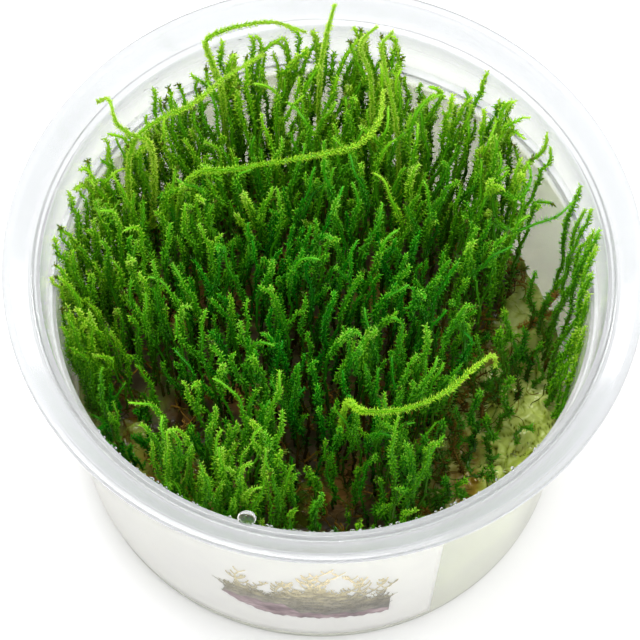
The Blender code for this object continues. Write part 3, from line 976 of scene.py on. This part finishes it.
def makeTufts():
    # a shoot on every foot, and a piece for each bunch: every shoot goes to the tuft whose middle is nearest
    rng = np.random.default_rng(clump["seed"] + 1)
    feet, low = clumpFeet()
    x, y = feet.T
    place = np.hypot(x, y) / (clump["radius"] * mm)      # 0 in the middle, 1 at the outline
    back = np.exp(-(((np.degrees(np.arctan2(y, x)) - 80) / 60) ** 2)) * place**3
    paths, lead, rod = tuftPaths(feet, low, place, back, rng)
    fresh, tone, size, dark, lower = tuftLooks(y, low, place, back, lead, waveField(x, y, 5, 16, 43), rng)
    parent, twigs = sideTwigs(paths, rng)
    centres = np.array([(np.array(corners[0]) + corners[1])[:2] / 2 for corners in map(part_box, tuftNodes)])
    nearest = np.hypot(*(feet[:, None] - centres[None]).transpose(2, 0, 1)).argmin(1)
    for number, name in enumerate(tuftNodes):
        mine = np.flatnonzero(nearest == number)
        own = np.flatnonzero(nearest[parent] == number)
        of = np.concatenate([mine, parent[own]])
        twig = np.arange(len(of)) >= len(mine)
        shoots = np.concatenate([paths[mine], twigs[own]])
        leafyPiece("mossTuft" + name[-2:], name, shoots, fresh[of], tone[of] + 0.05 * twig,
                   size[of] * (1 - 0.12 * twig), rod[of] * (1 - 0.5 * twig), dark[of] & ~twig, mossHabit,
                   100 + number, lower[of])


print("growing the tufts")
makeTufts()


longHabit = {"perMm": 30.0, "full": 99, "low": 50, "tip": 44, "stem": 0.21, "stemOlder": 0.16, "ageing": 90.0,
             "fade": 0.08, "size": 0.95}

# millimetres, from the foot inside the clump to the tip
longShoots = {
    "long_arch_shoot": [(-24, 17, 30), (-23, 17, 48), (-20, 16, 57), (-15, 14, 62), (-10, 14, 64),
        (-3, 15, 65), (3, 16, 66), (6, 18, 66), (8, 21, 66.5), (8.5, 26, 67)],
    "front_arch_shoot": [(3, -17, 30), (4, -19, 48), (6, -24, 56), (10, -26, 60), (14, -26, 62),
        (19, -24, 63.5), (22.5, -21, 64.5), (25.4, -18.2, 64), (26.3, -17.6, 62.6),
        (26.4, -18.4, 61.2)],
    "rim_runner_shoot": [(-16, 32, 32), (-17, 34, 50), (-18.5, 34, 60), (-19.5, 34.5, 66),
        (-17, 35, 68.5), (-14, 35.5, 69.5), (-9, 36, 70), (-4, 35, 69)],
    "rim_tip_shoot": [(-1.5, 35, 32), (-1.5, 36.5, 50), (-1.2, 37.5, 57), (-0.4, 38.4, 64),
        (0.6, 39.5, 70)],
    "left_hook_shoot": [(-28, 20, 30), (-27.5, 21.5, 48), (-28.2, 21.8, 56), (-30.9, 21.7, 58.5),
        (-33.2, 22.4, 61), (-33.9, 24.4, 62.6), (-34.6, 25.8, 62.6), (-36.2, 25.8, 61.4)],
    "left_bow_shoot": [(-31, 18, 30), (-31.5, 20, 49), (-30, 22, 57), (-26, 24, 60), (-21.5, 26, 61),
        (-16, 30, 63), (-10.5, 33, 65)],
    "back_curl_shoot_1": [(8, 31, 30), (7, 33, 49), (6.5, 35.5, 55), (4.9, 37, 60), (5.4, 37.2, 64),
        (7.3, 37.4, 67)],
    "back_curl_shoot_2": [(12, 27, 30), (11, 29, 49), (9.8, 32, 55), (8.6, 35, 60), (8.2, 36, 64),
        (9.8, 36.6, 67)],
}


def makeLongShoots():
    # single shoots along their routes, thinner where they curl or end by the rim, all of them fresh
    for number, (name, route) in enumerate(longShoots.items()):
        slim = 0.9 if "curl" in name or "tip" in name else 1.12
        fresh = 0.92 if "arch" in name else 0.97
        piece = "".join(w.capitalize() if i else w for i, w in enumerate(name.split("_")))
        leafyPiece(piece, name, smoothRoute(route, 64)[None], fresh, 0.96, slim, 8.0, False,
                   longHabit, 300 + number)


print("growing the long shoots")
makeLongShoots()


# feet and tips in millimetres: shoots that lean on the bare stretch of wall, and young ones in the bay
wallShoots = [
    ((37.6, -6.5, 18), (41.4, -3.2, 45)), ((38.2, -7.5, 20), (41.6, -4.6, 37)),
    ((37.4, -3.5, 18), (41.6, 0.5, 49)), ((36.8, -2.0, 18), (41.8, 2.5, 52)),
    ((36.9, 0.5, 18), (42.4, 5.2, 56)), ((36.2, 2.0, 18), (42.6, 7.6, 57)),
    ((36.0, 4.0, 18), (42.0, 9.0, 54)), ((35.6, 5.5, 18), (41.6, 12.4, 55)),
    ((35.0, 8.0, 18), (40.8, 13.8, 52)), ((36.6, -4.4, 18), (40.6, -1.6, 41)),
    ((36.2, 6.0, 18), (42.2, 10.4, 50)), ((35.4, 9.6, 18), (40.0, 17.0, 54)),
]
bayShoots = [
    ((19.8, -18.6, 17), (19.0, -18.0, 40)), ((22.9, -16.1, 17), (21.2, -15.6, 40)),
    ((25.8, -15.6, 17), (28.8, -14.2, 20)), ((29.0, -8.6, 17), (30.4, -6.6, 33)),
    ((27.1, -17.9, 17), (27.4, -17.2, 22)), ((26.2, -7.6, 17), (27.8, -5.0, 34)),
    ((24.4, -11.5, 17), (25.0, -10.6, 36)), ((31.8, -3.0, 17), (31.0, 0.2, 31)),
    ((33.4, 0.6, 17), (32.4, 3.4, 30)), ((30.6, 1.2, 17), (28.8, 2.8, 38)),
    ((29.0, -3.6, 17), (28.2, -1.2, 39)), ((16.6, -21.4, 17), (16.2, -21.0, 41)),
    ((13.4, -24.6, 17), (13.0, -24.4, 38)), ((19.4, -22.6, 17), (20.2, -22.8, 29)),
    ((33.0, 5.0, 17), (33.6, 8.6, 40)), ((22.2, -20.4, 17), (23.4, -20.8, 24)),
    ((31.6, -10.6, 17), (34.2, -9.0, 21)), ((27.6, -12.4, 17), (26.6, -11.4, 28)),
    ((34.6, -1.6, 17), (35.4, 2.6, 27)), ((10.6, -28.6, 17), (10.4, -29.6, 33)),
    ((15.0, -27.6, 17), (16.0, -28.4, 26)), ((34.2, 3.4, 17), (36.4, 8.0, 33)),
    ((25.0, -5.0, 17), (24.4, -3.4, 41)), ((21.4, -13.2, 17), (20.4, -12.6, 43)),
]
bayMore = 34     # and how many more low ones are strewn round it


# routes in millimetres of crooked shoots at the back right, and three dead ones; then freshness and tone
sideShoots = [
    ([(26, 21, 32), (27.2, 19.9, 46), (29.1, 16.9, 50), (30.5, 15.2, 53), (31.7, 15.9, 55), (32.1, 17.9, 56),
      (31.5, 19.3, 57)], 0.95, 0.6),
    ([(25, 17, 32), (26.2, 15.5, 44), (28, 11.9, 49), (29.7, 10.2, 51), (33, 10.6, 53), (36.4, 11.6, 54),
      (38.9, 13.8, 55)], 0.92, 0.5),
    ([(26, 31, 32), (26.4, 30.4, 44), (27, 28.9, 52), (27.6, 29.3, 56), (28.3, 29.4, 58), (29.4, 29.1, 59)],
     1.0, 0.95),
    ([(26.5, 31, 32), (27.1, 30.1, 46), (28.2, 27.7, 53), (29.7, 27.2, 56), (31.2, 27.6, 57),
      (31.8, 27.4, 57)], 1.0, 0.95),
    ([(28, 30, 32), (28.6, 29.4, 46), (29.2, 27.6, 52), (30.1, 26.1, 54), (31.1, 25.2, 54)], 1.0, 0.95),
    ([(25.5, 20.5, 36), (25.8, 20.2, 44), (26.4, 18.1, 50), (27.1, 16.5, 54), (27.9, 15.5, 55)], 0.98, 0.8),
    ([(25.5, 20.2, 36), (25.8, 19.8, 44), (25.9, 18.1, 50), (25.5, 16.6, 55), (26.1, 16.1, 57)], 0.98, 0.8),
    ([(29.0, 11.0, 49), (29.7, 10.2, 51), (30.5, 10.9, 53), (31.9, 11.5, 54)], 0.94, 0.6),
    ([(33, 9.4, 17), (34, 9.4, 19), (35.7, 9.8, 24), (36.9, 9.3, 30), (38.1, 8.8, 34)], 0.2, 1.0),
    ([(32, 10.3, 17), (33, 10.3, 18), (35.4, 9.7, 22), (37.7, 8.3, 27)], 0.16, 1.0),
    ([(34, 11, 17), (35, 11, 19), (36.2, 10.4, 25), (37.8, 10, 31)], 0.18, 1.0),
]


def towards(pairs, sway, rng):
    # a path from each foot to its tip: the straight line plus a sway and small kinks, nothing at both ends
    ends = np.array(pairs) * mm
    t = np.linspace(0, 1, clump["stations"])[None, :, None]
    turn = rng.uniform(0, tau, (len(pairs), 1, 2))
    line = ends[:, :1] + (ends[:, 1:] - ends[:, :1]) * t
    line[..., :2] += sway * mm * np.sin(turn + tau * 1.3 * t) * np.sin(np.pi * t)
    line[..., :2] += 0.2 * mm * np.sin(2 * turn + tau * 6 * t) * np.sin(np.pi * t)
    return insideCup(line, 0.5)


def makeExtraShoots():
    # the crooked ones, the ones on the bare wall, and the young ones in the bay with more strewn round them
    rng = np.random.default_rng(71)
    routes, fresh, tone = zip(*sideShoots)
    paths = insideCup(np.stack([smoothRoute(route, 26) for route in routes]), 0.4)
    leafyPiece("sideShoots", None, paths, fresh, tone, 1.05, 3.0, False, mossHabit, 74, 0.8)
    n = len(wallShoots)
    leafyPiece("wallShoots", None, towards(wallShoots, 0.7, rng), rng.uniform(0.9, 1, n),
               rng.uniform(0.5, 0.85, n), rng.uniform(1.0, 1.3, n), rng.uniform(2, 6, n), False, mossHabit,
               72, 0.8)
    angle = np.radians(rng.uniform(-76, 20, bayMore))
    reach = 37.4 - (39 - outlineRadius(angle, 37.0)) * rng.random(bayMore) ** 0.6
    foot = polar(reach, angle, np.full(bayMore, 17.0))
    shift = [rng.normal(0, 2.6, bayMore), rng.normal(1, 2.6, bayMore), rng.uniform(1.6, 10, bayMore)]
    pairs = np.concatenate([np.array(bayShoots), np.stack([foot, foot + np.stack(shift, -1)], 1)])
    n = len(pairs)
    leafyPiece("bayShoots", None, towards(pairs, 0.9, rng), rng.uniform(0.55, 0.84, n),
               rng.uniform(0.2, 0.7, n), rng.uniform(1.0, 1.5, n), rng.uniform(1.5, 3, n), False, mossHabit,
               73, 0.8)


print("growing the bay and wall shoots")
makeExtraShoots()


oldStems = {"count": 620, "length": (4, 12), "stations": 9, "seed": 61}
oldHabit = {"perMm": 2.0, "full": 99, "low": 60, "tip": 40, "stem": 0.2, "stemOlder": 0.1, "ageing": 26.0,
            "fade": 0.24, "size": 1.5}


def makeMat():
    # brown stems lying and rising on the gel, tubes with a few withered leaves
    rng = np.random.default_rng(oldStems["seed"])
    count = oldStems["count"]
    angle = rng.uniform(0, tau, count)
    r = (outlineRadius(angle, clump["radius"] - 0.6) + 1.5) * np.sqrt(rng.uniform(0, 1, count))
    feet = polar(r, angle) * mm
    turn = rng.uniform(0, tau, count)
    length = rng.uniform(*oldStems["length"], count) * mm
    t = np.linspace(0, 1, oldStems["stations"])[None, :, None]
    reach = (length * rng.uniform(0.2, 0.6, count))[:, None, None]
    flat = feet[:, None] + polar(1, turn)[:, None] * reach * t
    flat = flat + 0.7 * mm * np.sin(tau * t * 1.3 + rng.uniform(0, tau, (count, 1, 2)))
    rise = matLow[2] + 0.4 * mm + (length * rng.uniform(0.1, 0.8, count))[:, None, None] * t**1.3
    paths = insideCup(np.concatenate([flat, rise], -1), 1.0)
    leafyPiece("oldStemMat", "old_stem_mat", paths, rng.uniform(0.24, 0.42, count),
               rng.uniform(0.05, 1.0, count), 0.8, 3.0, False, oldHabit, 62)


strands = {
    "count": 90, "stations": 17,
    "length": (3, 11), "radius": (0.06, 0.14),
    "ages": (0.1, 0.16, 0.28), "tones": (0.35, 0.6, 0.9),
    "lift": 0.12,
    "seed": 81,
}


def makeStrands():
    # bare dark and straw strands that wander over the gel in the bay, each following its height
    rng = np.random.default_rng(strands["seed"])
    count, stations = strands["count"], strands["stations"]
    angle = np.radians(rng.uniform(-80, 24, count))
    feet = polar(rng.uniform(20, 37.5, count), angle) * mm
    length = rng.uniform(*strands["length"], count) * mm
    t = np.linspace(0, 1, stations)[None]
    turn = rng.uniform(0, tau, (count, 1)) + rng.normal(0, 1.6, (count, 1)) * t
    turn = turn + 0.6 * np.sin(tau * t + angle[:, None])
    flat = feet[:, None] + np.cumsum(polar(1, turn), 1) * (length / stations)[:, None, None]
    z = gelSurface(flat[..., 0], flat[..., 1])[0] + strands["lift"] * mm
    paths = insideCup(np.concatenate([flat, z[..., None]], -1), 1.0)
    radius = rng.uniform(*strands["radius"], count)[:, None] * mm * (1 - 0.5 * t)
    age = rng.choice(strands["ages"], count)[:, None] + 0 * t
    points, quads, fans, uv = stemTubes(paths, radius, age, rng.choice(strands["tones"], count))
    meshPiece("gelStrands", points, [quads, fans], moss, None, uv.clip(0.004, 0.996))


print("laying the old stems and strands")
makeMat()
makeStrands()


def beads(centres, radii, stretch, rows=8, columns=12):
    # closed ellipsoids, rings of points between two poles; stretch (n, 3) scales each along X, Y, Z
    fromPole = np.pi * np.arange(1, rows)[:, None] / rows
    turns = tau * np.arange(columns) / columns
    ball = polar(np.sin(fromPole), turns, np.cos(fromPole) + 0 * turns).reshape(-1, 3)
    ball = np.concatenate([ball, [[0, 0, 1], [0, 0, -1]]])
    points = centres[:, None] + ball * radii[:, None, None] * stretch[:, None]
    faces = closedRings(rows - 1, columns, fromTop=True)
    return points.reshape(-1, 3), [repeated(one, len(centres), len(ball)) for one in faces]


water = {
    "drop": (-10.75, -42.35, 55.75), "dropRadius": 1.45, "dropStretch": (1.0, 0.8, 0.85),
    "lipBeads": 70, "lipBeadHeight": 55.2,
    "ledgeBeads": 150, "ledgeBeadHeights": (48.0, 51.5, 54.2),
    "seed": 91,
}


def waterMaterial():
    # clear water with a faint ripple
    material, tree = newMaterial("clear water")
    ripple = noise(tree, objectPlace(tree), 300.0)
    return finished(material, principled(tree, {
        "Base Color": (1, 1, 1, 1), "Roughness": 0.02, "IOR": 1.33, "Transmission Weight": 1.0,
        "Normal": bumped(tree, ripple, 0.05, 0.0002),
    }))


def makeWater():
    # one drop that hangs on the front of the lip, small beads along it, and a mist of them by the ledge
    rng = np.random.default_rng(water["seed"])
    clear = waterMaterial()
    drop, radius = np.array([water["drop"]]) * mm, np.array([water["dropRadius"]]) * mm
    points, faces = beads(drop, radius, np.array([water["dropStretch"]]), 20, 32)
    meshPiece("lipDrop", points, faces, clear)
    n = water["lipBeads"]
    left = rng.random(n) < 0.75
    angle = np.radians(np.where(left, rng.uniform(-142, -78, n), rng.uniform(-78, -40, n)))
    radius = rng.uniform(0.10, 0.30, n) * mm
    r = (cup["lip"] - 0.1) * mm - 0.4 * radius
    centres = polar(r, angle, water["lipBeadHeight"] * mm + rng.uniform(-0.4, 0.2, n) * mm)
    points, faces = beads(centres, radius, rng.uniform(0.8, 1.2, (n, 3)))
    meshPiece("lipBeads", points, faces, clear)
    n = water["ledgeBeads"]
    angle = np.radians(rng.uniform(95, 215, n))
    z = rng.choice(water["ledgeBeadHeights"], n, p=(0.6, 0.2, 0.2)) * mm + rng.normal(0, 0.35, n) * mm
    radius = rng.uniform(0.08, 0.26, n) * mm
    r = innerWall(z) - 0.3 * radius
    centres = polar(r, angle, z)
    points, faces = beads(centres, radius, rng.uniform(0.7, 1.3, (n, 3)), 6, 8)
    meshPiece("ledgeBeads", points, faces, clear)


print("wetting the rim")
makeWater()


studio = {
    "floor": 3.0, "strength": 1.42,
    "sky": ((0.0, (0.86, 0.87, 0.88)), (0.22, (0.95, 0.95, 0.96)), (0.5, (1.0, 1.0, 1.0))),
    # place, width and power; the two low ones behind light up the wall that shows between the shoots
    "lights": {
        "key": ((-0.14, 0.12, 1.1), 0.4, 9.0), "fill": ((0.6, -0.5, 0.8), 0.9, 3.0),
        "left back": ((-0.5, 0.42, 0.13), 0.2, 1.0), "right back": ((0.5, 0.42, 0.13), 0.2, 1.0),
    },
    "middle": (0, 0, 0.05),      # what the lights point at
}


def makeStage():
    # a floor, the light of a white room and four square lamps
    size = studio["floor"]
    points = [(-size, -size, 0), (size, -size, 0), (size, size, 0), (-size, size, 0)]
    mesh = bpy.data.meshes.new("floor")
    mesh.from_pydata(points, [], [(0, 1, 2, 3)])
    floor = added("floor", mesh)
    material, tree = newMaterial("pale floor")
    gray = {"Base Color": (0.8, 0.8, 0.8, 1), "Roughness": 0.9, "Specular IOR Level": 0.1}
    mesh.materials.append(finished(material, principled(tree, gray)))
    # a white room that is darker near the horizon, so that clear edges show
    world = bpy.data.worlds.new("studio")
    world.use_nodes = True
    tree = world.node_tree
    sky = ramp(tree, heightOf(tree, node(tree, "ShaderNodeTexCoord").outputs["Generated"]), studio["sky"])
    background = tree.nodes["Background"]
    tree.links.new(sky, background.inputs["Color"])
    background.inputs["Strength"].default_value = studio["strength"]
    bpy.context.scene.world = world
    for name, (place, width, power) in studio["lights"].items():
        light = bpy.data.lights.new(name, "AREA")
        light.size = width
        light.energy = power
        lamp = added(name, light)
        lamp.location = place
        aim = Vector(studio["middle"]) - Vector(place)
        lamp.rotation_euler = aim.to_track_quat("-Z", "Y").to_euler()


camera = {
    "place": (-0.00047, -0.3199, 0.6804),
    "down": 63.51,       # degrees below the horizon
    "roll": 1.47,
    "lens": 254.1, "sensor": 36.0,
}


def makeCamera():
    data = bpy.data.cameras.new("camera")
    data.lens = camera["lens"]
    data.sensor_width = camera["sensor"]
    data.clip_start = 0.01
    data.dof.use_dof = False
    made = added("camera", data)
    tilt = Matrix.Rotation(math.radians(90 - camera["down"]), 4, "X")
    roll = Matrix.Rotation(math.radians(camera["roll"]), 4, "Z")
    made.matrix_world = Matrix.Translation(camera["place"]) @ tilt @ roll
    bpy.context.scene.camera = made


print("lighting and camera")
makeStage()
makeCamera()
bpy.context.scene.view_settings.view_transform = "Standard"
bpy.context.view_layer.update()
